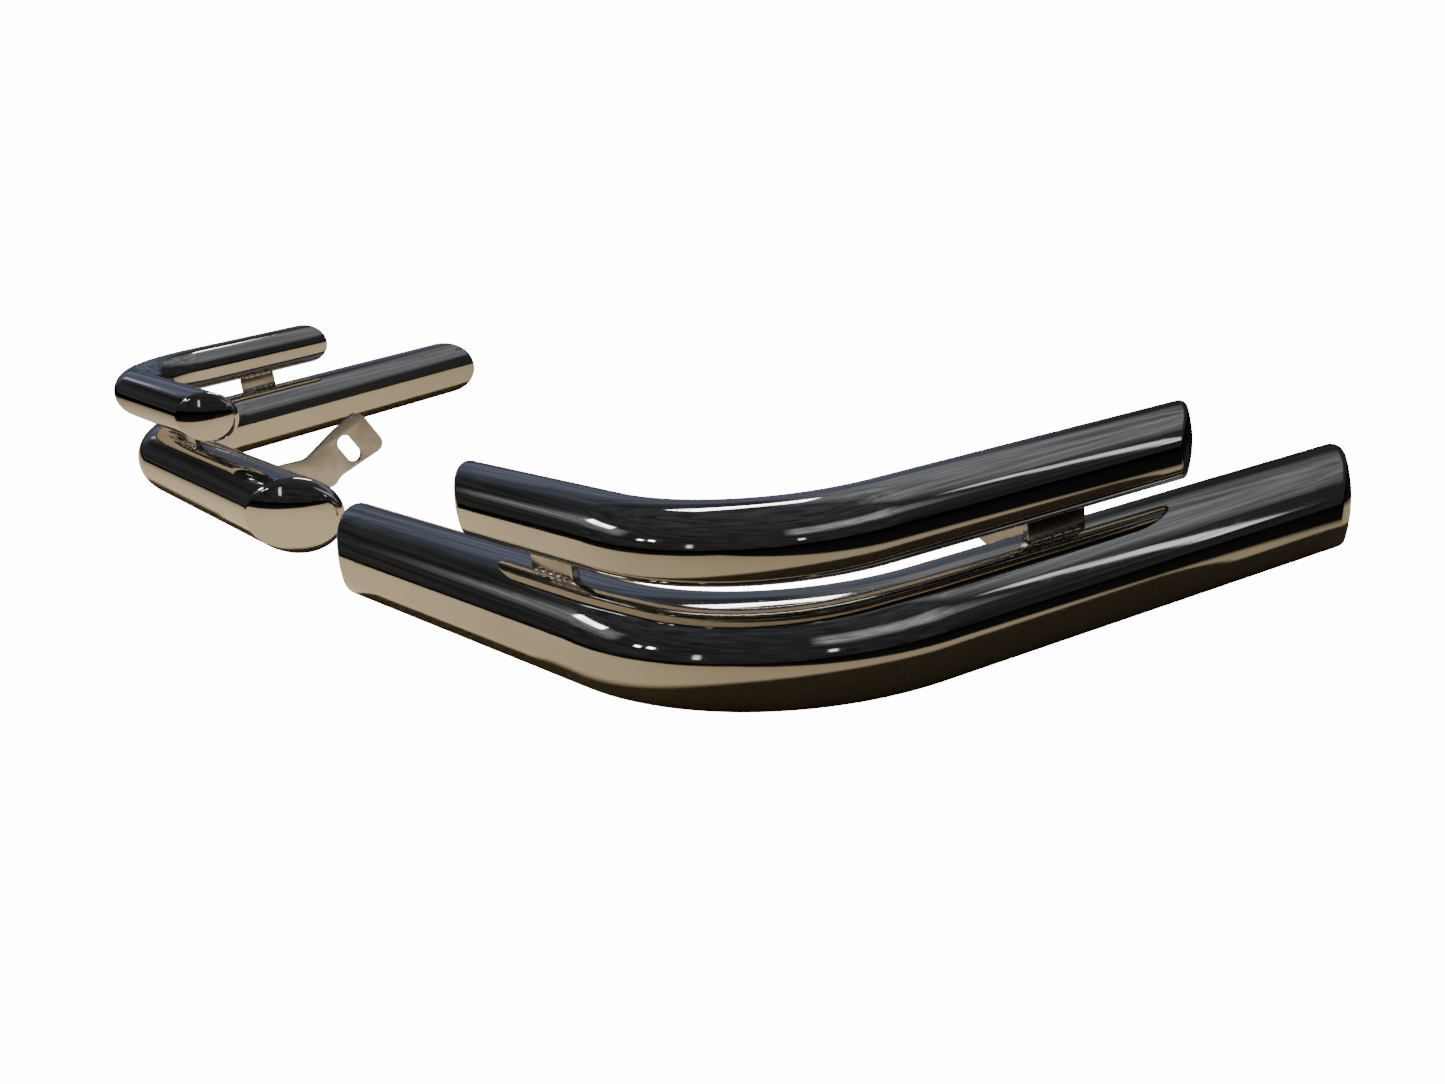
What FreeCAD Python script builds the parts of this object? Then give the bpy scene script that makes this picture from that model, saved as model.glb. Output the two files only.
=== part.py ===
"""A pair of polished twin-tube corner bars for the bumper corners of a truck or trailer.

Each bar is a thick lower tube with one bend, a thinner and shorter upper tube above it,
two coped plates that hold the tubes apart, crowned caps welded onto the slanted tube ends,
and a slotted plate bracket on the vehicle side of its long leg.  Both bars are of one hand.

A bar is drawn about its corner point, where the axes of its legs meet.  The short leg runs
along -X and the long leg turns clockwise from it, so the vehicle is inside the corner.
Places on a leg are given as (along the leg, inward to the vehicle, height above the ground).
"""
import FreeCAD, Part
import math
import os

# Driving dimensions, in millimetres and degrees
corner_angle = 104.0            # between the legs, seen from above
tube_wall = 2.0

lower_diameter = 76.1
lower_bend_radius = 169.0
lower_short_leg = 486.0         # corner point to the middle of the slanted end
lower_long_leg = 510.5

upper_diameter = 52.4
upper_bend_radius = 135.0
upper_short_leg = 272.0
upper_long_leg = 349.5
axis_rise = 80.5                # upper axis above the lower axis
upper_outset = 13.0             # upper axis outside the lower axis

end_slant = 44.0                # how far the ends face outward from the leg
cap_depth_ratio = 0.50          # seam to rim plane, as a share of the tube radius
crown_ratio = 3.2               # radius of the cap's crown, as a share of the tube radius
rim_ratio = 0.22                # rounding of the cap's rim, as a share of the tube radius

spacer_length = 48.0
spacer_thickness = 6.0
short_spacer_place = 176.0      # along the short leg, to the middle of the plate
long_spacer_place = 234.0

bracket_thickness = 6.0
bracket_place = 296.0           # along the long leg, to the middle of the plate
arm_top = 4.0                   # the arm's top edge, above the lower tube's axis
arm_bottom = -34.0              # the arm's bottom edge, below the same axis
knee_reach = 54.0               # from the tube's surface to where the arm's top starts to rise
heel_reach = 81.0               # from the tube's surface to where the arm's bottom starts to rise
ear_tilt = 28.5                 # the ear rises from level towards the vehicle
ear_above = 28.0                # slot centre to the ear's upper edge
ear_below = 27.0                # slot centre to the ear's lower edge
ear_end = 36.5                  # slot centre to the ear's end
waist_back = 27.0               # slot centre back to the ear's narrowest place
waist_below = 18.0              # slot centre to the lower edge at the narrowest place
slot_reach = 106.5              # from the tube's surface to the slot's centre
slot_rise = 4.5                 # slot's centre above the lower tube's axis
slot_width = 18.0
slot_length = 34.0
ear_corner = 11.0               # rounding of the ear's corners
hollow_corner = 18.0            # rounding of the other corners

weld_size = 3.0

left_turn = -80.0               # how the second bar lies, about the first one's corner point
left_shift_x = -1158.0
left_shift_y = 52.0

# Worked out from the driving dimensions
UP = FreeCAD.Vector(0, 0, 1)
lower_radius = lower_diameter / 2
upper_radius = upper_diameter / 2
lower_height = lower_radius
upper_height = lower_radius + axis_rise
half_corner = math.radians(corner_angle / 2)
FAR = 4 * lower_diameter        # long enough to cut right through any leg


def make_leg(angle, turn):
    """A leg's direction and its inward normal; turn is +1 or -1."""
    a = math.radians(angle)
    along = FreeCAD.Vector(math.cos(a), math.sin(a), 0)
    inward = FreeCAD.Vector(-math.sin(a), math.cos(a), 0) * turn
    return {"along": along, "inward": inward}


short_leg = make_leg(180.0, -1)
long_leg = make_leg(180.0 - corner_angle, 1)


def place(leg, along, inward, height):
    return leg["along"] * along + leg["inward"] * inward + UP * height


# Tubes -----------------------------------------------------------------------------------

LOWER = {
    "radius": lower_radius,
    "bend_radius": lower_bend_radius,
    "outset": 0.0,
    "height": lower_height,
    "lengths": {"short": lower_short_leg, "long": lower_long_leg},
}
UPPER = {
    "radius": upper_radius,
    "bend_radius": upper_bend_radius,
    "outset": upper_outset,
    "height": upper_height,
    "lengths": {"short": upper_short_leg, "long": upper_long_leg},
}
LEGS = {"short": short_leg, "long": long_leg}


def corner_along(tube):
    """The tube's own corner point, measured along a leg from the bar's corner point."""
    return -tube["outset"] / math.tan(half_corner)


def on_tube(tube, end, distance):
    """A point on the tube's axis, at a distance from the tube's own corner point."""
    return place(LEGS[end], corner_along(tube) + distance, -tube["outset"], tube["height"])


def face_normal(end):
    """Outward normal of a slanted end: the leg's direction turned away from the vehicle."""
    slant = math.radians(end_slant)
    leg = LEGS[end]
    return leg["along"] * math.cos(slant) - leg["inward"] * math.sin(slant)


def swept_rod(tube, radius):
    """A round rod along the tube's axis that runs past both slanted ends."""
    tangent = tube["bend_radius"] / math.tan(half_corner)
    spare = tube["radius"] * math.tan(math.radians(end_slant)) + tube["radius"]
    corner = on_tube(tube, "short", 0)
    start = on_tube(tube, "short", tube["lengths"]["short"] + spare)
    bend_start = on_tube(tube, "short", tangent)
    bend_end = on_tube(tube, "long", tangent)
    finish = on_tube(tube, "long", tube["lengths"]["long"] + spare)
    middle = (short_leg["along"] + long_leg["along"]).normalize()
    bend_middle = corner + middle * (tube["bend_radius"] * (1 / math.sin(half_corner) - 1))
    path = Part.Wire([
        Part.LineSegment(start, bend_start).toShape(),
        Part.Arc(bend_start, bend_middle, bend_end).toShape(),
        Part.LineSegment(bend_end, finish).toShape(),
    ])
    profile = Part.Wire(Part.makeCircle(radius, start, bend_start - start))
    return path.makePipeShell([profile], True, True)


def beyond_seam(tube, end):
    """A block that holds everything past the seam between the tube and its cap."""
    normal = face_normal(end)
    rim_centre = on_tube(tube, end, tube["lengths"][end])
    seam_centre = rim_centre - normal * (cap_depth_ratio * tube["radius"])
    return Part.makeCylinder(FAR, FAR, seam_centre, normal)


def make_tube(tube):
    shape = swept_rod(tube, tube["radius"]).cut(swept_rod(tube, tube["radius"] - tube_wall))
    for end in LEGS:
        shape = shape.cut(beyond_seam(tube, end))
    return shape


# End caps --------------------------------------------------------------------------------

def crowned_plug(tube, end, inset):
    """A closed rod end with a crowned face and a rounded rim, inset from the outside."""
    radius = tube["radius"] - inset
    normal = face_normal(end)
    leg = LEGS[end]
    half_length = tube["radius"] / math.cos(math.radians(end_slant))
    crown_radius = crown_ratio * tube["radius"]
    crown_height = crown_radius - math.sqrt(crown_radius ** 2 - half_length ** 2)
    rim_centre = on_tube(tube, end, tube["lengths"][end])
    crown_centre = rim_centre + normal * (crown_height - crown_radius)
    crown = Part.makeSphere(crown_radius - inset, crown_centre)
    past_crown = Part.makeCylinder(FAR, FAR, crown_centre, normal).cut(crown)
    rod = Part.makeCylinder(radius, FAR, rim_centre - leg["along"] * (FAR / 2), leg["along"])
    plug = rod.cut(past_crown)
    rim = [e for e in plug.Edges if is_rim(e, crown_centre, crown_radius - inset)]
    return plug.makeFillet(rim_ratio * tube["radius"] - inset, rim)


def is_rim(edge, crown_centre, crown_radius):
    """True for an edge that lies on the crown."""
    middle = edge.valueAt((edge.FirstParameter + edge.LastParameter) / 2)
    ends = [v.Point for v in edge.Vertexes] + [middle]
    return all(abs((p - crown_centre).Length - crown_radius) < 0.01 for p in ends)


def make_cap(tube, end):
    shell = crowned_plug(tube, end, 0).cut(crowned_plug(tube, end, tube_wall))
    return shell.common(beyond_seam(tube, end))


# Spacer plates ---------------------------------------------------------------------------

def leg_rod(tube, end, radius):
    """A straight rod on the tube's axis along one leg."""
    start = on_tube(tube, end, 0)
    return Part.makeCylinder(radius, tube["lengths"][end], start, LEGS[end]["along"])


def make_spacer(end, along):
    """An upright plate midway between the planes of the two axes, coped to both tubes."""
    leg = LEGS[end]
    start = along - spacer_length / 2
    near = -(upper_outset + spacer_thickness) / 2
    points = [
        place(leg, start, near, lower_height),
        place(leg, start, near + spacer_thickness, lower_height),
        place(leg, start, near + spacer_thickness, upper_height),
        place(leg, start, near, upper_height),
    ]
    plate = Part.Face(Part.makePolygon(points + points[:1])).extrude(leg["along"] * spacer_length)
    return plate.cut(leg_rod(LOWER, end, lower_radius)).cut(leg_rod(UPPER, end, upper_radius))


def make_spacer_welds(end, along, plate):
    """Beads along both faces of a spacer plate, at the lower and the upper tube."""
    leg = LEGS[end]
    beads = []
    for way in (-1, 1):
        inward = (way * spacer_thickness - upper_outset) / 2
        lower_foot = lower_height + math.sqrt(lower_radius ** 2 - inward ** 2)
        upper_foot = upper_height - math.sqrt(upper_radius ** 2 - (inward + upper_outset) ** 2)
        for foot in (lower_foot, upper_foot):
            start = place(leg, along - spacer_length / 2, inward, foot)
            bead = Part.makeCylinder(weld_size, spacer_length, start, leg["along"])
            bead = bead.cut(plate).cut(leg_rod(LOWER, end, lower_radius))
            beads.append(bead.cut(leg_rod(UPPER, end, upper_radius)))
    return beads


# Brackets --------------------------------------------------------------------------------

def rounded_wire(corners):
    """A closed wire through (point, radius) corners, with an arc at each rounded one."""
    edges = []
    ends = []
    count = len(corners)
    for i in range(count):
        point, radius = corners[i]
        back = (corners[i - 1][0] - point).normalize()
        ahead = (corners[(i + 1) % count][0] - point).normalize()
        half = back.getAngle(ahead) / 2
        if radius == 0:
            ends.append((point, point))
            continue
        setback = radius / math.tan(half)
        arc_in = point + back * setback
        arc_out = point + ahead * setback
        middle = (back + ahead).normalize()
        arc_middle = point + middle * (radius / math.sin(half) - radius)
        edges.append((i, Part.Arc(arc_in, arc_middle, arc_out).toShape()))
        ends.append((arc_in, arc_out))
    lines = []
    for i in range(count):
        lines.append((i + 0.5, Part.LineSegment(ends[i][1], ends[(i + 1) % count][0]).toShape()))
    ordered = sorted(edges + lines, key=lambda item: item[0])
    return Part.Wire([edge for _, edge in ordered])


def ear_point(out, across):
    """A point in the slot's frame, as inward and height above the lower tube's axis."""
    tilt = math.radians(ear_tilt)
    inward = lower_radius + slot_reach + out * math.cos(tilt) - across * math.sin(tilt)
    height = slot_rise + out * math.sin(tilt) + across * math.cos(tilt)
    return inward, height


def bracket_outline(along):
    """The bracket's outline, from inside the lower tube round the ear and back."""
    outline = [
        ((0.0, arm_top), 0),
        ((lower_radius + knee_reach, arm_top), hollow_corner),
        (ear_point(0.0, ear_above), hollow_corner),
        (ear_point(ear_end, ear_above), ear_corner),
        (ear_point(ear_end, -ear_below), ear_corner),
        (ear_point(-waist_back, -waist_below), hollow_corner),
        ((lower_radius + heel_reach, arm_bottom), ear_corner),
        ((0.0, arm_bottom), 0),
    ]
    return [(place(long_leg, along, i, lower_height + z), r) for (i, z), r in outline]


def make_slot(along):
    tilt = math.radians(ear_tilt)
    centre = place(long_leg, along, lower_radius + slot_reach, lower_height + slot_rise)
    down = long_leg["inward"] * math.sin(tilt) - UP * math.cos(tilt)
    out = long_leg["inward"] * math.cos(tilt) + UP * math.sin(tilt)
    reach = down * (slot_length / 2 - slot_width / 2)
    half = out * (slot_width / 2)
    tip = down * (slot_length / 2)
    wire = Part.Wire([
        Part.LineSegment(centre - reach + half, centre + reach + half).toShape(),
        Part.Arc(centre + reach + half, centre + tip, centre + reach - half).toShape(),
        Part.LineSegment(centre + reach - half, centre - reach - half).toShape(),
        Part.Arc(centre - reach - half, centre - tip, centre - reach + half).toShape(),
    ])
    return Part.Face(wire).extrude(long_leg["along"] * bracket_thickness)


def make_bracket():
    start = bracket_place - bracket_thickness / 2
    plate = Part.Face(rounded_wire(bracket_outline(start)))
    plate = plate.extrude(long_leg["along"] * bracket_thickness)
    return plate.cut(make_slot(start)).cut(leg_rod(LOWER, "long", lower_radius))


def make_bracket_weld():
    """A bead round the tube on the corner side of the bracket, as long as the arm is wide."""
    face_place = bracket_place - bracket_thickness / 2
    ring = Part.makeTorus(lower_radius, weld_size, place(long_leg, face_place, 0, lower_height),
                          long_leg["along"])
    corners = [(0, arm_bottom), (lower_diameter, arm_bottom), (lower_diameter, arm_top), (0, arm_top)]
    points = [place(long_leg, face_place, i, lower_height + z) for i, z in corners]
    window = Part.Face(Part.makePolygon(points + points[:1])).extrude(long_leg["along"] * -lower_radius)
    return ring.common(window).cut(leg_rod(LOWER, "long", lower_radius))


# The whole bar ---------------------------------------------------------------------------

def make_bar():
    short_spacer = make_spacer("short", short_spacer_place)
    long_spacer = make_spacer("long", long_spacer_place)
    spacer_welds = make_spacer_welds("short", short_spacer_place, short_spacer)
    spacer_welds += make_spacer_welds("long", long_spacer_place, long_spacer)
    return {
        "lower_tube": make_tube(LOWER),
        "upper_tube": make_tube(UPPER),
        "lower_short_end_cap": make_cap(LOWER, "short"),
        "lower_long_end_cap": make_cap(LOWER, "long"),
        "upper_short_end_cap": make_cap(UPPER, "short"),
        "upper_long_end_cap": make_cap(UPPER, "long"),
        "short_leg_spacer": short_spacer,
        "long_leg_spacer": long_spacer,
        "mounting_bracket": make_bracket(),
        "spacer_welds": Part.makeCompound([s for bead in spacer_welds for s in bead.Solids]),
        "bracket_weld": make_bracket_weld(),
    }


def make_pair():
    """Both bars, with the origin at the bottom centre of the pair's box."""
    pieces = {}
    turn = FreeCAD.Rotation(UP, left_turn)
    lie = FreeCAD.Placement(FreeCAD.Vector(left_shift_x, left_shift_y, 0), turn)
    for name, shape in make_bar().items():
        left = shape.copy()
        left.Placement = lie.multiply(left.Placement)
        pieces[name + "_right"] = shape
        pieces[name + "_left"] = left
    box = FreeCAD.BoundBox()
    for shape in pieces.values():
        box.add(shape.optimalBoundingBox(False, False))
    middle = FreeCAD.Vector(-box.Center.x, -box.Center.y, -box.ZMin)
    for shape in pieces.values():
        shape.translate(middle)
    return pieces, middle


def main():
    os.makedirs("parts", exist_ok=True)
    pieces, middle = make_pair()
    print("right bar's corner point", middle)
    for name, shape in pieces.items():
        shape.exportStep(os.path.join("parts", name + ".step"))
        print(name, "solids", len(shape.Solids), "valid", shape.isValid(), "volume", round(shape.Volume))


main()
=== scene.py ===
"""The polished corner bar pair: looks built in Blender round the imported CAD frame, in metres."""
import math

import bmesh
import bpy
from mathutils import Matrix, Vector


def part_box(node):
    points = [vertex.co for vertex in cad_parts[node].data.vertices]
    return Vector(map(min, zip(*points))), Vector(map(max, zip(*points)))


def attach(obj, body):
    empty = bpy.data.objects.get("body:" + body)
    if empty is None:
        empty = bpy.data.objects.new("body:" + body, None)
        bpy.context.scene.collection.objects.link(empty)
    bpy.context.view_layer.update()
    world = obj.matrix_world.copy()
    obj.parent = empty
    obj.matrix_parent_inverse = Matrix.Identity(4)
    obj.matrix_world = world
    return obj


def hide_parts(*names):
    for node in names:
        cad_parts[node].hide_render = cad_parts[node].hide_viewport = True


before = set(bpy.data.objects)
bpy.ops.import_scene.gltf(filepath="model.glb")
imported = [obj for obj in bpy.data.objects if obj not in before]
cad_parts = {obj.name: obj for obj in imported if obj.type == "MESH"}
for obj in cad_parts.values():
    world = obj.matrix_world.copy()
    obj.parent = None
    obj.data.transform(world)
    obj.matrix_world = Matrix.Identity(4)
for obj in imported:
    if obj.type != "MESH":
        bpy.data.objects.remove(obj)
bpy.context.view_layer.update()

# The bar's own sizes, in metres and radians
CORNER_ANGLE = math.radians(104)
HALF_CORNER = CORNER_ANGLE / 2
END_SLANT = math.radians(44)
TUBE_WALL = 0.002
CAP_DEPTH_RATIO = 0.50
CROWN_RATIO = 3.2
RIM_RATIO = 0.22
LOWER_RADIUS = 0.03805
AXIS_RISE = 0.0805
UPPER_OUTSET = 0.013
SHORT_SPACER_PLACE = 0.176
LONG_SPACER_PLACE = 0.234
SPACER_LENGTH = 0.048
SPACER_THICKNESS = 0.006
BRACKET_PLACE = 0.296
BRACKET_THICKNESS = 0.006
ARM_TOP = 0.004
ARM_BOTTOM = -0.034

LOWER = {"radius": LOWER_RADIUS, "bend": 0.169, "outset": 0.0, "height": LOWER_RADIUS,
         "short": 0.486, "long": 0.5105}
UPPER = {"radius": 0.0262, "bend": 0.135, "outset": UPPER_OUTSET,
         "height": LOWER_RADIUS + AXIS_RISE, "short": 0.272, "long": 0.3495}

# The left bar is the right bar turned about its corner point, then shifted
LEFT_TURN = math.radians(-80)
LEFT_SHIFT = Vector((-1.158, 0.052, 0))

# Plate edges and weld beads: the beads swell at each dab and taper at both ends
SPACER_EDGE = 0.0004
BRACKET_EDGE = 0.0006
BEAD_RADIUS = 0.0030
BEAD_WAIST = 0.72
BEAD_SHARPNESS = 0.6
BEAD_END = 0.35
BEAD_TAPER = 6
SPACER_BEAD_DABS = 5
SPACER_BEAD_INSET = 0.0015
BRACKET_BEAD_DABS = 6
BRACKET_BEAD_LOW_INSET = 0.06
BRACKET_BEAD_HIGH_INSET = 0.03

# How finely the meshes are divided
AROUND = 128
BEND_STEPS = 64
RIM_STEPS = 10
CROWN_STEPS = 18
STRAIGHT_STEPS = 6
BEAD_STEPS = 60
BEAD_AROUND = 20
EDGE_SEGMENTS = 3
SEAM_CLEARANCE = 1.5            # room between a slanted seam and the nearest full ring
STATION_STEP = 0.001            # texture distance from ring to ring on caps and beads
SAME_POINT = 1e-6
FLAT_WITHIN = math.radians(1)
BEVEL_FROM = math.radians(40)
SHARP_SKIN = math.radians(35)
SHARP_PLATE = math.radians(50)

UP = Vector((0, 0, 1))


# Places ----------------------------------------------------------------------------------

def box_middle(node):
    low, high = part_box(node)
    return (low + high) / 2


def right_corner():
    """The right bar's corner point: its short leg runs along -X from there."""
    across = box_middle("lower_short_end_cap_right").y
    low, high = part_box("short_leg_spacer_right")
    return Vector(((low.x + high.x) / 2 + SHORT_SPACER_PLACE, across, 0))


def left_lie():
    """The placement that takes a piece of the right bar to the left bar."""
    corner = right_corner()
    turn = Matrix.Rotation(LEFT_TURN, 4, "Z")
    return Matrix.Translation(corner + LEFT_SHIFT) @ turn @ Matrix.Translation(-corner)


def leg(end):
    """A leg's direction and its inward normal."""
    if end == "short":
        return Vector((-1, 0, 0)), Vector((0, 1, 0))
    turn = math.pi - CORNER_ANGLE
    return (Vector((math.cos(turn), math.sin(turn), 0)),
            Vector((-math.sin(turn), math.cos(turn), 0)))


def on_leg(end, along, inward, height):
    direction, normal = leg(end)
    return right_corner() + direction * along + normal * inward + UP * height


def on_tube(tube, end, distance):
    """A point on a tube's axis, at a distance from the tube's own corner point."""
    start = -tube["outset"] / math.tan(HALF_CORNER)
    return on_leg(end, start + distance, -tube["outset"], tube["height"])


# Mesh helpers ----------------------------------------------------------------------------

def add_object(name, data):
    thing = bpy.data.objects.new(name, data)
    bpy.context.scene.collection.objects.link(thing)
    return thing


def smooth_faces(mesh):
    mesh.polygons.foreach_set("use_smooth", [True] * len(mesh.polygons))


def mesh_object(name, verts, faces, uvs=None):
    mesh = bpy.data.meshes.new(name)
    mesh.from_pydata([tuple(v) for v in verts], [], faces)
    mesh.update()
    work = bmesh.new()
    work.from_mesh(mesh)
    if uvs is not None:
        layer = work.loops.layers.uv.new("polish")
        for face, corners in zip(work.faces, uvs):
            for loop, uv in zip(face.loops, corners):
                loop[layer].uv = uv
    bmesh.ops.recalc_face_normals(work, faces=work.faces)
    work.to_mesh(mesh)
    work.free()
    smooth_faces(mesh)
    mesh.set_sharp_from_angle(angle=SHARP_SKIN)
    return add_object(name, mesh)


def rings_object(name, rings, stations, closed, first_tip=None, last_tip=None):
    """A skin through rings of equal count, either joined end to end or closed by two tips."""
    count = len(rings[0])
    verts = [p for ring in rings for p in ring]
    faces = []
    uvs = []
    last = len(rings) if closed else len(rings) - 1
    for i in range(last):
        j = (i + 1) % len(rings)
        for k in range(count):
            n = (k + 1) % count
            faces.append((i * count + k, i * count + n, j * count + n, j * count + k))
            u0, u1 = stations[i], stations[j]
            v0, v1 = k / count, (k + 1) / count
            uvs.append(((u0, v0), (u0, v1), (u1, v1), (u1, v0)))
    tips = ((first_tip, 0, stations[0]), (last_tip, len(rings) - 1, stations[-1]))
    for tip, row, station in tips:
        if tip is None:
            continue
        verts.append(tip)
        for k in range(count):
            n = (k + 1) % count
            faces.append((row * count + k, row * count + n, len(verts) - 1))
            middle = (k + 0.5) / count
            uvs.append(((station, k / count), (station, (k + 1) / count), (station, middle)))
    return mesh_object(name, verts, faces, uvs)


def around_direction(inward, k):
    angle = 2 * math.pi * k / AROUND
    return inward * math.cos(angle) + UP * math.sin(angle)


def ring_at(centre, inward, radius):
    return [centre + around_direction(inward, k) * radius for k in range(AROUND)]


# Tubes and caps --------------------------------------------------------------------------

def face_normal(end):
    direction, inward = leg(end)
    return direction * math.cos(END_SLANT) - inward * math.sin(END_SLANT)


def seam_centre(tube, end):
    """Where the slanted seam crosses the tube's axis."""
    return on_tube(tube, end, tube[end] - CAP_DEPTH_RATIO * tube["radius"] / math.cos(END_SLANT))


def seam_ring(tube, end, inset):
    """The ring where the slanted seam crosses the tube's surface."""
    direction, inward = leg(end)
    normal = face_normal(end)
    centre = seam_centre(tube, end)
    ring = []
    for k in range(AROUND):
        out = around_direction(inward, k) * (tube["radius"] - inset)
        ring.append(centre + out - direction * (out.dot(normal) / direction.dot(normal)))
    return ring


def outermost_ring(tube, end):
    """The distance of the full ring nearest to a leg's slanted seam."""
    seam_reach = tube["radius"] * (CAP_DEPTH_RATIO + math.tan(END_SLANT))
    return tube[end] - seam_reach * SEAM_CLEARANCE


def tube_rings(tube, inset):
    """Rings from the short seam round the bend to the long seam, with their place along it."""
    radius = tube["radius"] - inset
    tangent = tube["bend"] / math.tan(HALF_CORNER)
    rings = [seam_ring(tube, "short", inset)]
    nearest = outermost_ring(tube, "short")
    stations = [0.0]
    for i in range(STRAIGHT_STEPS):
        distance = nearest + (tangent - nearest) * i / STRAIGHT_STEPS
        rings.append(ring_at(on_tube(tube, "short", distance), leg("short")[1], radius))
        stations.append(tube["short"] - distance)
    start_in, finish_in = leg("short")[1], leg("long")[1]
    centre = on_tube(tube, "short", tangent) + start_in * tube["bend"]
    bend_length = tube["bend"] * (math.pi - CORNER_ANGLE)
    for i in range(BEND_STEPS + 1):
        share = i / BEND_STEPS
        inward = start_in.slerp(finish_in, share)
        rings.append(ring_at(centre - inward * tube["bend"], inward, radius))
        stations.append(tube["short"] - tangent + bend_length * share)
    nearest = outermost_ring(tube, "long")
    for i in range(1, STRAIGHT_STEPS + 1):
        distance = tangent + (nearest - tangent) * i / STRAIGHT_STEPS
        rings.append(ring_at(on_tube(tube, "long", distance), leg("long")[1], radius))
        stations.append(tube["short"] - tangent + bend_length + distance - tangent)
    rings.append(seam_ring(tube, "long", inset))
    stations.append(stations[-1] + tube["long"] - nearest)
    return rings, stations


def make_tube(name, tube):
    outer, stations = tube_rings(tube, 0)
    inner, _ = tube_rings(tube, TUBE_WALL)
    return rings_object(name, outer + inner[::-1], stations + stations[::-1], closed=True)


def crown_rings(tube, end, inset):
    """Rings from the crown's middle out over the rounded rim, and the crown's tip."""
    direction, inward = leg(end)
    normal = face_normal(end)
    rim = RIM_RATIO * tube["radius"]
    half_length = tube["radius"] / math.cos(END_SLANT)
    crown = CROWN_RATIO * tube["radius"]
    height = crown - math.sqrt(crown ** 2 - half_length ** 2)
    rim_centre = on_tube(tube, end, tube[end])
    centre = rim_centre + normal * (height - crown)
    core_radius = tube["radius"] - rim
    core_crown = crown - rim
    rows = []
    turned = []
    for k in range(AROUND):
        out = around_direction(inward, k)
        start = rim_centre + out * core_radius - centre
        b = start.dot(direction)
        c = start.length_squared - core_crown ** 2
        edge = start + direction * (-b + math.sqrt(b * b - c))
        turned.append((out, edge, edge.normalized()))
    for j in range(1, CROWN_STEPS + 1):
        share = j / CROWN_STEPS
        rows.append([centre + normal.slerp(n, share) * (crown - inset) for _, _, n in turned])
    for j in range(1, RIM_STEPS + 1):
        share = j / RIM_STEPS
        rows.append([centre + edge + n.slerp(out, share) * (rim - inset)
                     for out, edge, n in turned])
    return centre + normal * (crown - inset), rows


def make_cap(name, tube, end):
    outer_tip, outer = crown_rings(tube, end, 0)
    inner_tip, inner = crown_rings(tube, end, TUBE_WALL)
    outer.append(seam_ring(tube, end, 0))
    inner.append(seam_ring(tube, end, TUBE_WALL))
    rings = outer + inner[::-1]
    stations = [STATION_STEP * i for i in range(len(rings))]
    return rings_object(name, rings, stations, closed=False,
                        first_tip=outer_tip, last_tip=inner_tip)


# Plates and welds ------------------------------------------------------------------------

def softened_copy(node, name, edge):
    """A copy of a CAD plate with its flat faces joined up and its edges slightly rounded."""
    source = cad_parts[node]
    mesh = source.data.copy()
    mesh.materials.clear()
    work = bmesh.new()
    work.from_mesh(mesh)
    bmesh.ops.remove_doubles(work, verts=work.verts, dist=SAME_POINT)
    bmesh.ops.dissolve_limit(work, angle_limit=FLAT_WITHIN, verts=work.verts, edges=work.edges)
    work.to_mesh(mesh)
    work.free()
    thing = add_object(name, mesh)
    bevel = thing.modifiers.new("edge", "BEVEL")
    bevel.width = edge
    bevel.segments = EDGE_SEGMENTS
    bevel.limit_method = "ANGLE"
    bevel.angle_limit = BEVEL_FROM
    bpy.context.view_layer.update()
    depsgraph = bpy.context.evaluated_depsgraph_get()
    rounded = bpy.data.meshes.new_from_object(thing.evaluated_get(depsgraph))
    rounded.name = name
    thing.modifiers.clear()
    thing.data = rounded
    smooth_faces(rounded)
    rounded.set_sharp_from_angle(angle=SHARP_PLATE)
    return thing


def make_bead(path, dabs):
    """A rippled bead along a path of (place, one side, other side) frames."""
    angles = [2 * math.pi * k / BEAD_AROUND for k in range(BEAD_AROUND)]
    rings = []
    for i, (place, one, two) in enumerate(path):
        share = i / (len(path) - 1)
        ripple = abs(math.sin(math.pi * dabs * share)) ** BEAD_SHARPNESS
        taper = min(1.0, BEAD_TAPER * share + BEAD_END, BEAD_TAPER * (1 - share) + BEAD_END)
        size = BEAD_RADIUS * (BEAD_WAIST + (1 - BEAD_WAIST) * ripple) * taper
        rings.append([place + one * (size * math.cos(a)) + two * (size * math.sin(a))
                      for a in angles])
    stations = [STATION_STEP * i for i in range(len(rings))]
    return rings_object("bead", rings, stations, closed=False,
                        first_tip=path[0][0], last_tip=path[-1][0])


def spacer_bead_paths():
    """Straight paths along both faces of each spacer plate, at both tubes."""
    reach = SPACER_LENGTH / 2 - SPACER_BEAD_INSET
    shares = [i / BEAD_STEPS for i in range(BEAD_STEPS + 1)]
    for end, middle in (("short", SHORT_SPACER_PLACE), ("long", LONG_SPACER_PLACE)):
        direction, normal = leg(end)
        for way in (-1, 1):
            inward = (way * SPACER_THICKNESS - UPPER_OUTSET) / 2
            from_upper = inward + UPPER_OUTSET
            lower_foot = LOWER["height"] + math.sqrt(LOWER["radius"] ** 2 - inward ** 2)
            upper_foot = UPPER["height"] - math.sqrt(UPPER["radius"] ** 2 - from_upper ** 2)
            for foot in (lower_foot, upper_foot):
                base = on_leg(end, middle, inward, foot)
                yield [(base + direction * (reach * (2 * share - 1)), normal, UP)
                       for share in shares]


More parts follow.
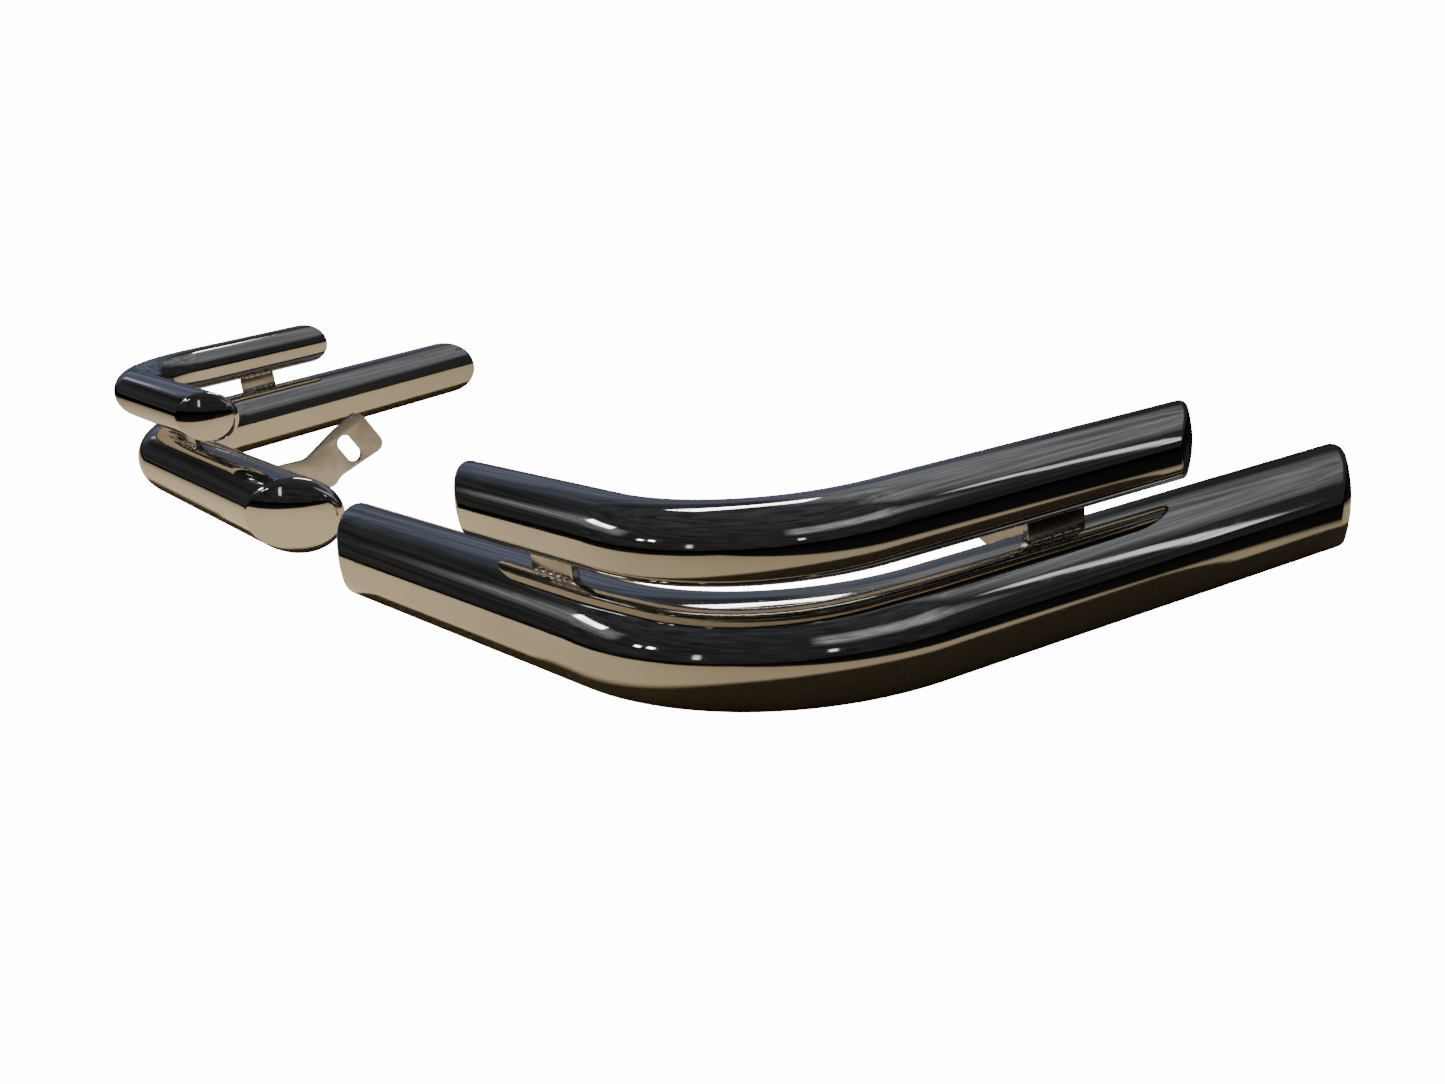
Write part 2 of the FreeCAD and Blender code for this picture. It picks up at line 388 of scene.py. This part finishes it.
def bracket_bead_path():
    """The path round the tube along the corner side of the bracket's arm."""
    direction, inward = leg("long")
    centre = on_leg("long", BRACKET_PLACE - BRACKET_THICKNESS / 2, 0, LOWER_RADIUS)
    low = math.asin(ARM_BOTTOM / LOWER_RADIUS) + BRACKET_BEAD_LOW_INSET
    high = math.asin(ARM_TOP / LOWER_RADIUS) - BRACKET_BEAD_HIGH_INSET
    path = []
    for i in range(BEAD_STEPS + 1):
        angle = low + (high - low) * i / BEAD_STEPS
        out = inward * math.cos(angle) + UP * math.sin(angle)
        path.append((centre + out * LOWER_RADIUS, out, direction))
    return path


def join(name, things):
    work = bmesh.new()
    for thing in things:
        work.from_mesh(thing.data)
        bpy.data.objects.remove(thing)
    mesh = bpy.data.meshes.new(name)
    work.to_mesh(mesh)
    work.free()
    smooth_faces(mesh)
    return add_object(name, mesh)


# Materials -------------------------------------------------------------------------------

def new_material(name):
    material = bpy.data.materials.new(name)
    material.use_nodes = True
    nodes = material.node_tree.nodes
    shader = nodes["Principled BSDF"]
    return material, nodes, material.node_tree.links, shader


def feed(links, socket, value):
    """Sets a socket to a constant, or links another socket to it."""
    if isinstance(value, bpy.types.NodeSocket):
        links.new(value, socket)
    else:
        socket.default_value = value


def noise(nodes, links, vector, scale, detail, rough=0.5):
    node = nodes.new("ShaderNodeTexNoise")
    node.inputs["Scale"].default_value = scale
    node.inputs["Detail"].default_value = detail
    node.inputs["Roughness"].default_value = rough
    links.new(vector, node.inputs["Vector"])
    return node.outputs["Fac"]


def stretch(nodes, links, source, scale):
    node = nodes.new("ShaderNodeMapping")
    node.inputs["Scale"].default_value = scale
    links.new(source, node.inputs["Vector"])
    return node.outputs["Vector"]


def remap(nodes, links, value, low_in, high_in, low_out, high_out):
    node = nodes.new("ShaderNodeMapRange")
    limits = {"From Min": low_in, "From Max": high_in, "To Min": low_out, "To Max": high_out}
    for key, number in limits.items():
        node.inputs[key].default_value = number
    links.new(value, node.inputs["Value"])
    return node.outputs["Result"]


def math_node(nodes, links, operation, a, b):
    node = nodes.new("ShaderNodeMath")
    node.operation = operation
    feed(links, node.inputs[0], a)
    feed(links, node.inputs[1], b)
    return node.outputs[0]


def ramp(nodes, links, value, stops):
    node = nodes.new("ShaderNodeValToRGB")
    while len(node.color_ramp.elements) < len(stops):
        node.color_ramp.elements.new(0.5)
    for element, (place, colour) in zip(node.color_ramp.elements, stops):
        element.position = place
        element.color = (*colour, 1)
    links.new(value, node.inputs["Fac"])
    return node.outputs["Color"]


def add_bump(nodes, links, height, distance, strength, below=None):
    node = nodes.new("ShaderNodeBump")
    node.inputs["Distance"].default_value = distance
    node.inputs["Strength"].default_value = strength
    links.new(height, node.inputs["Height"])
    if below is not None:
        links.new(below, node.inputs["Normal"])
    return node.outputs["Normal"]


def polished_steel(name):
    """Mirror-polished stainless: faint haze, wiping smudges and fine polishing lines."""
    material, nodes, links, shader = new_material(name)
    place = nodes.new("ShaderNodeTexCoord").outputs["Object"]
    haze = noise(nodes, links, place, 9, 3)
    smudge = noise(nodes, links, place, 38, 5, 0.65)
    lines = noise(nodes, links, stretch(nodes, links, place, (60, 60, 900)), 1, 2)
    rough = math_node(nodes, links, "ADD", remap(nodes, links, haze, 0.35, 0.7, 0.035, 0.075),
                      remap(nodes, links, smudge, 0.56, 0.8, 0.0, 0.07))
    links.new(rough, shader.inputs["Roughness"])
    colour = ramp(nodes, links, haze, ((0.3, (0.60, 0.585, 0.56)), (0.75, (0.52, 0.51, 0.495))))
    links.new(colour, shader.inputs["Base Color"])
    wave = noise(nodes, links, place, 14, 1)
    normal = add_bump(nodes, links, wave, 0.0006, 0.25)
    normal = add_bump(nodes, links, lines, 0.00002, 0.25, normal)
    links.new(normal, shader.inputs["Normal"])
    shader.inputs["Metallic"].default_value = 1.0
    return material


def satin_plate(name, base, worn, smooth, rough):
    """Cut stainless plate with rolled grain, handling stains and rubbed patches."""
    material, nodes, links, shader = new_material(name)
    place = nodes.new("ShaderNodeTexCoord").outputs["Object"]
    grain = noise(nodes, links, stretch(nodes, links, place, (70, 70, 900)), 1, 3)
    stain = noise(nodes, links, place, 30, 5, 0.6)
    mixed = math_node(nodes, links, "ADD", remap(nodes, links, stain, 0.3, 0.7, 0.0, 0.7),
                      remap(nodes, links, grain, 0.3, 0.7, 0.0, 0.3))
    links.new(ramp(nodes, links, mixed, ((0.1, base), (0.9, worn))), shader.inputs["Base Color"])
    links.new(remap(nodes, links, stain, 0.3, 0.75, smooth, rough), shader.inputs["Roughness"])
    links.new(add_bump(nodes, links, grain, 0.0001, 0.35), shader.inputs["Normal"])
    shader.inputs["Metallic"].default_value = 1.0
    return material


def weld_steel():
    """Brushed weld metal with faint straw and blue heat colours."""
    material, nodes, links, shader = new_material("weld_metal")
    place = nodes.new("ShaderNodeTexCoord").outputs["Object"]
    heat = noise(nodes, links, place, 70, 2)
    stops = ((0.35, (0.62, 0.60, 0.58)), (0.55, (0.54, 0.49, 0.42)), (0.7, (0.46, 0.46, 0.48)))
    links.new(ramp(nodes, links, heat, stops), shader.inputs["Base Color"])
    links.new(remap(nodes, links, heat, 0.3, 0.7, 0.14, 0.3), shader.inputs["Roughness"])
    pits = noise(nodes, links, place, 500, 2)
    links.new(add_bump(nodes, links, pits, 0.0001, 0.3), shader.inputs["Normal"])
    shader.inputs["Metallic"].default_value = 1.0
    return material


# The two bars ----------------------------------------------------------------------------

def build_right_bar():
    """Every piece of the right bar as (piece, node it stands for, slot name, material)."""
    steel = polished_steel("polished_tube_steel")
    cap_steel = polished_steel("polished_cap_steel")
    # Painted shade: the spacer steel is coloured darker than the bracket steel to stand in for the
    # shade the spacers sit in
    shade_dark_plate_steel = satin_plate("spacer_steel_painted_shade", (0.46, 0.45, 0.44), (0.33, 0.32, 0.31), 0.16, 0.26)
    bracket_steel = satin_plate("bracket_steel", (0.56, 0.555, 0.56), (0.42, 0.415, 0.42),
                                0.34, 0.46)
    weld = weld_steel()
    pieces = []
    for label, tube in (("lower", LOWER), ("upper", UPPER)):
        node = label + "_tube"
        pieces.append((make_tube(node + "_polished", tube), node, "polished_tube", steel))
        for end in ("short", "long"):
            node = f"{label}_{end}_end_cap"
            cap = make_cap(node + "_polished", tube, end)
            pieces.append((cap, node, "polished_cap", cap_steel))
    for node in ("short_leg_spacer", "long_leg_spacer"):
        plate = softened_copy(node + "_right", node + "_plate", SPACER_EDGE)
        pieces.append((plate, node, "spacer_plate", shade_dark_plate_steel))
    plate = softened_copy("mounting_bracket_right", "mounting_bracket_plate", BRACKET_EDGE)
    pieces.append((plate, "mounting_bracket", "bracket_plate", bracket_steel))
    beads = [make_bead(path, SPACER_BEAD_DABS) for path in spacer_bead_paths()]
    pieces.append((join("spacer_weld_beads", beads), "spacer_welds", "weld_bead", weld))
    beads = [make_bead(bracket_bead_path(), BRACKET_BEAD_DABS)]
    pieces.append((join("bracket_weld_bead", beads), "bracket_weld", "weld_bead", weld))
    return pieces


def dress(piece, node, body, material):
    piece.data.materials.clear()
    piece.data.materials.append(material)
    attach(piece, body)
    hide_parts(node)


def build_bars():
    lie = left_lie()
    for piece, node, slot, material in build_right_bar():
        twin = add_object(piece.name + "_left", piece.data.copy())
        twin.data.transform(lie)
        piece.name = piece.name + "_right"
        dress(piece, node + "_right", "right_bar", material)
        dress(twin, node + "_left", "left_bar", material)


# Stage, light and camera -----------------------------------------------------------------

# The lit parts of the floor, as (least x, most x, least y, most y) from the right bar's corner;
# the rest is coloured near-black, a painted shade for the unlit room
BOARDS = ((-2.20, 0.21, -0.52, 0.62), (-2.20, -0.45, 0.60, 1.60))
BOARD_COLOUR = (0.575, 0.470, 0.305, 1)
BOARD_SOFTNESS = 0.015
# Painted shade: the floor off the boards is coloured near-black to stand in for the unlit room
UNLIT_FLOOR_PAINTED_DARK = (0.012, 0.012, 0.013, 1)
PALE_FLOOR = (0.9, 0.9, 0.9, 1)
FLOOR_REACH = 30
FLOOR_HEIGHT = -0.0005
FLOOR_GLOW = 14.0
HORIZON_MATCH = 0.8             # added to the background so that it meets the floor with no line

# What the steel sees of the room: azimuth and elevation of the middle, half width, half height
# and softness of the edge, all in degrees, then the colour
ROOM_PATCHES = (
    (86, 49, 40, 11, 13, (0.19, 0.20, 0.21)),         # grey ceiling past the long leg
    (152, 18, 18, 9, 14, (0.095, 0.11, 0.165)),       # blue-grey wall beyond the bars
    (146, 58, 19, 3.2, 1.6, (14.0, 14.3, 14.0)),      # strip light high beyond the bars
    (-140, 30, 9, 1.6, 1.6, (7.0, 7.2, 7.0)),         # window to the camera's left
    (-138, 25, 16, 3.0, 5.0, (0.20, 0.21, 0.20)),     # dim wall under the window
    (-107, 17.5, 0.9, 0.9, 0.9, (12.0, 12.5, 13.0)),  # a pair of lamps
    (-101, 18.3, 0.9, 0.9, 0.9, (12.0, 12.5, 13.0)),
    (-81, 10, 0.8, 3.5, 1.0, (1.2, 1.2, 1.2)),        # upright strip
    (-5, 32, 26, 3.0, 7.0, (0.40, 0.42, 0.44)),       # glare behind the camera, to its right
    (33, 25, 1.0, 12, 1.2, (1.0, 1.05, 1.1)),         # tall bright edge
    (176, 14, 1.2, 1.2, 1.2, (0.5, 0.5, 0.6)),        # small lamp beyond the left bar
    (-30, 12, 1.0, 1.6, 0.9, (3.0, 3.2, 3.5)),        # lamp behind the camera
)
MATT_LIGHT = 0.07

# Places from the right bar's corner point
KEY_PLACE = Vector((-0.765, 0.06, 1.5))
KEY_POWER = 33
KEY_SIZE = 0.16
CAMERA_PLACE = Vector((0.55261, -0.47192, 0.3584))
CAMERA_AZIMUTH = math.radians(139.81)
CAMERA_PITCH = math.radians(17.73)
CAMERA_ROLL = math.radians(-6.31)
SENSOR_WIDTH = 36
IMAGE_WIDTH = 1445
FOCAL_LENGTH = 1328.6           # in the same units as the image's width


def stage_mix(nodes, links, share, low, high):
    """A colour between two others; each may be a colour or a socket."""
    node = nodes.new("ShaderNodeMix")
    node.data_type = "RGBA"
    links.new(share, node.inputs["Factor"])
    feed(links, node.inputs[6], low)
    feed(links, node.inputs[7], high)
    return node.outputs[2]


def scaled(nodes, links, colour, factor):
    """A colour, given as a colour or a socket, times a factor's socket."""
    node = nodes.new("ShaderNodeVectorMath")
    node.operation = "SCALE"
    feed(links, node.inputs[0], colour)
    links.new(factor, node.inputs["Scale"])
    return node.outputs[0]


def board_share(nodes, links):
    """One on the lit boards and nought, with soft edges, on the rest of the floor, which is
    painted dark as unlit shade.
    """
    place = nodes.new("ShaderNodeNewGeometry").outputs["Position"]
    axes = nodes.new("ShaderNodeSeparateXYZ")
    links.new(place, axes.inputs[0])
    corner = right_corner()
    lit = 0
    for left, right, near, far in BOARDS:
        sides = (("X", corner.x + left, 0, 1), ("X", corner.x + right, 1, 0),
                 ("Y", corner.y + near, 0, 1), ("Y", corner.y + far, 1, 0))
        inside = 1
        for axis, edge, before, after in sides:
            step = remap(nodes, links, axes.outputs[axis],
                         edge - BOARD_SOFTNESS, edge + BOARD_SOFTNESS, before, after)
            inside = math_node(nodes, links, "MULTIPLY", step, inside)
        lit = math_node(nodes, links, "MAXIMUM", inside, lit)
    return lit


def pale_floor():
    """A white floor to the eye. The steel reflects it as two lit beige boards on a floor painted
    near-black as painted shade for the unlit room.
    """
    square = ((-1, -1), (1, -1), (1, 1), (-1, 1))
    corners = [(FLOOR_REACH * x, FLOOR_REACH * y, FLOOR_HEIGHT) for x, y in square]
    floor = mesh_object("floor", corners, [(0, 1, 2, 3)])
    material, nodes, links, shader = new_material("pale_floor")
    shader.inputs["Roughness"].default_value = 0.9
    shader.inputs["Specular IOR Level"].default_value = 0.0
    board = stage_mix(nodes, links, board_share(nodes, links), UNLIT_FLOOR_PAINTED_DARK, BOARD_COLOUR)
    seen = nodes.new("ShaderNodeLightPath").outputs["Is Camera Ray"]
    links.new(stage_mix(nodes, links, seen, board, PALE_FLOOR), shader.inputs["Base Color"])
    shader.inputs["Emission Color"].default_value = (1, 1, 1, 1)
    glow = math_node(nodes, links, "MULTIPLY", seen, FLOOR_GLOW)
    links.new(glow, shader.inputs["Emission Strength"])
    floor.data.materials.append(material)


def add_patch(nodes, links, azimuth, elevation, total, patch):
    """Adds one soft-edged patch of the room to the total colour."""
    middle_az, middle_el, half_az, half_el, edge, colour = patch
    turn = nodes.new("ShaderNodeMath")
    turn.operation = "WRAP"
    links.new(math_node(nodes, links, "SUBTRACT", azimuth, middle_az), turn.inputs[0])
    turn.inputs[1].default_value = 180
    turn.inputs[2].default_value = -180
    sideways = math_node(nodes, links, "ABSOLUTE", turn.outputs[0], 0)
    above = math_node(nodes, links, "SUBTRACT", elevation, middle_el)
    upward = math_node(nodes, links, "ABSOLUTE", above, 0)
    across = remap(nodes, links, sideways, half_az, half_az + edge, 1, 0)
    along = remap(nodes, links, upward, half_el, half_el + edge, 1, 0)
    share = math_node(nodes, links, "MULTIPLY", across, along)
    both = nodes.new("ShaderNodeVectorMath")
    links.new(total, both.inputs[0])
    links.new(scaled(nodes, links, colour, share), both.inputs[1])
    return both.outputs[0]


def room_world():
    """White to the eye, dim for matt faces, and a dark room with lights for the steel."""
    world = bpy.data.worlds.new("room")
    bpy.context.scene.world = world
    world.use_nodes = True
    nodes, links = world.node_tree.nodes, world.node_tree.links
    place = nodes.new("ShaderNodeTexCoord").outputs["Generated"]
    axes = nodes.new("ShaderNodeSeparateXYZ")
    links.new(place, axes.inputs[0])
    azimuth = math_node(nodes, links, "ARCTAN2", axes.outputs["Y"], axes.outputs["X"])
    azimuth = math_node(nodes, links, "MULTIPLY", azimuth, math.degrees(1))
    elevation = math_node(nodes, links, "ARCSINE", axes.outputs["Z"], 0)
    elevation = math_node(nodes, links, "MULTIPLY", elevation, math.degrees(1))
    height = remap(nodes, links, elevation, 0, 90, 0, 1)
    walls = ((0.0, (0.030, 0.031, 0.030)), (0.35, (0.034, 0.036, 0.038)),
             (0.6, (0.05, 0.052, 0.06)), (1.0, (0.06, 0.062, 0.07)))
    total = ramp(nodes, links, height, walls)
    for patch in ROOM_PATCHES:
        total = add_patch(nodes, links, azimuth, elevation, total, patch)
    clutter = noise(nodes, links, stretch(nodes, links, place, (5, 5, 22)), 1, 5, 0.65)
    patchy = remap(nodes, links, clutter, 0.35, 0.65, 0.45, 1.5)

    ray = nodes.new("ShaderNodeLightPath")
    steel = nodes["Background"]
    soft = nodes.new("ShaderNodeBackground")
    white = nodes.new("ShaderNodeBackground")
    links.new(scaled(nodes, links, total, patchy), steel.inputs["Color"])
    soft.inputs["Color"].default_value = (1.0, 0.985, 0.96, 1)
    soft.inputs["Strength"].default_value = MATT_LIGHT
    white.inputs["Color"].default_value = (1, 1, 1, 1)
    white.inputs["Strength"].default_value = FLOOR_GLOW + HORIZON_MATCH
    matt = nodes.new("ShaderNodeMixShader")
    links.new(ray.outputs["Is Glossy Ray"], matt.inputs["Fac"])
    links.new(soft.outputs[0], matt.inputs[1])
    links.new(steel.outputs[0], matt.inputs[2])
    eye = nodes.new("ShaderNodeMixShader")
    links.new(ray.outputs["Is Camera Ray"], eye.inputs["Fac"])
    links.new(matt.outputs[0], eye.inputs[1])
    links.new(white.outputs[0], eye.inputs[2])
    links.new(eye.outputs[0], nodes["World Output"].inputs["Surface"])


def key_light():
    """The lamp over the space between the bars, which the steel itself does not reflect."""
    lamp = bpy.data.lights.new("key", "AREA")
    lamp.energy = KEY_POWER
    lamp.size = KEY_SIZE
    lamp.color = (1.0, 0.98, 0.95)
    thing = add_object("key", lamp)
    thing.location = right_corner() + KEY_PLACE
    thing.visible_glossy = False


def place_camera():
    """The viewing angle: beside the right bar's outer corner, looking along the pair."""
    data = bpy.data.cameras.new("camera")
    data.lens = SENSOR_WIDTH * FOCAL_LENGTH / IMAGE_WIDTH
    data.sensor_width = SENSOR_WIDTH
    data.clip_end = 50
    level = Vector((math.sin(CAMERA_AZIMUTH), -math.cos(CAMERA_AZIMUTH), 0))
    ahead = Vector((math.cos(CAMERA_AZIMUTH), math.sin(CAMERA_AZIMUTH), 0))
    forward = ahead * math.cos(CAMERA_PITCH) - UP * math.sin(CAMERA_PITCH)
    top = ahead * math.sin(CAMERA_PITCH) + UP * math.cos(CAMERA_PITCH)
    right = level * math.cos(CAMERA_ROLL) + top * math.sin(CAMERA_ROLL)
    upward = top * math.cos(CAMERA_ROLL) - level * math.sin(CAMERA_ROLL)
    turn = Matrix((right, upward, -forward)).transposed().to_4x4()
    thing = add_object("camera", data)
    thing.matrix_world = Matrix.Translation(right_corner() + CAMERA_PLACE) @ turn
    bpy.context.scene.camera = thing


build_bars()
pale_floor()
room_world()
key_light()
place_camera()
